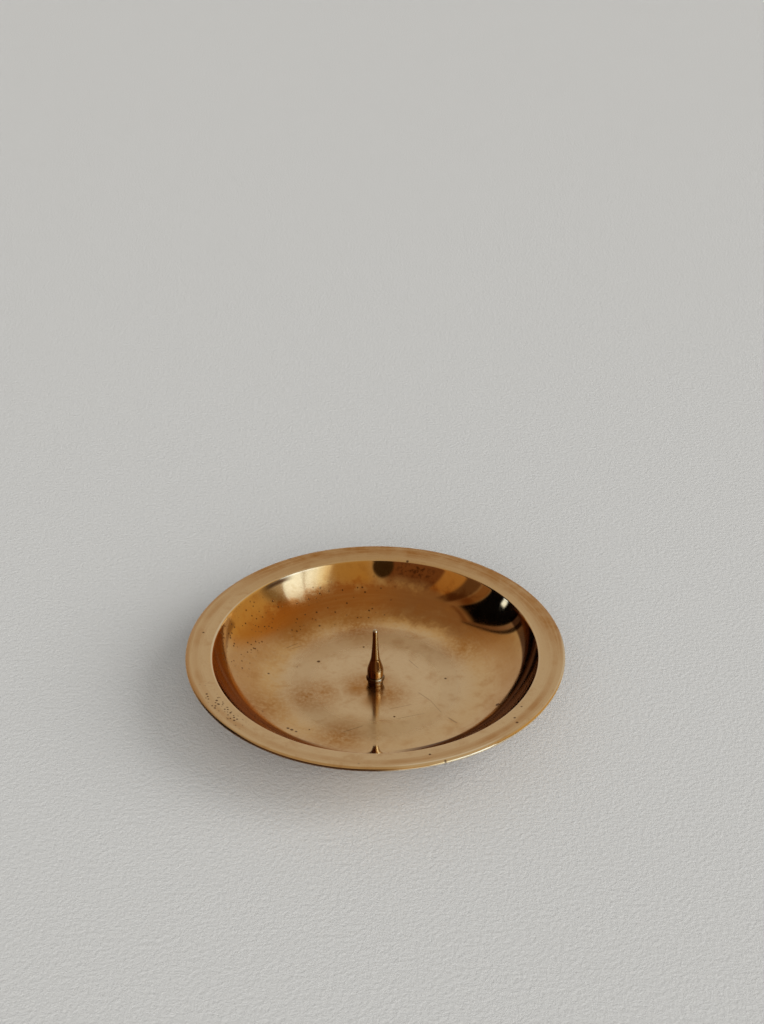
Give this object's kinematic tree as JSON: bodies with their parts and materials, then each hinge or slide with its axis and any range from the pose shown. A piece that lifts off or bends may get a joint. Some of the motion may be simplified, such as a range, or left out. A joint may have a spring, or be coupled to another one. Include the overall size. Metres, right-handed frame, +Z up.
{
  "type": "pricket candle dish",
  "caption": "Round footed dish with a flat brim, a curved well and a central turned spike that holds a pillar candle.",
  "frame": {"origin": "on the dish's axis, in the plane of the surface that its foot ring stands on", "axes": "+Z up along the spike; the part is turned, so X and Y are free; the picture looks along +Y with +X to the right"},
  "size_m": [0.14, 0.14, 0.0311],
  "materials": {
    "dish_brass": "polished, aged brass with a brown patina in the hollows",
    "spike_brass": "polished, turned brass",
    "washer_brass": "dull brass",
    "nut_brass": "dull brass"
  },
  "bodies": {
    "root": {"dish": "dish_brass", "candle_spike": "spike_brass", "washer": "washer_brass", "hex_nut": "nut_brass"}
  },
  "joints": []
}
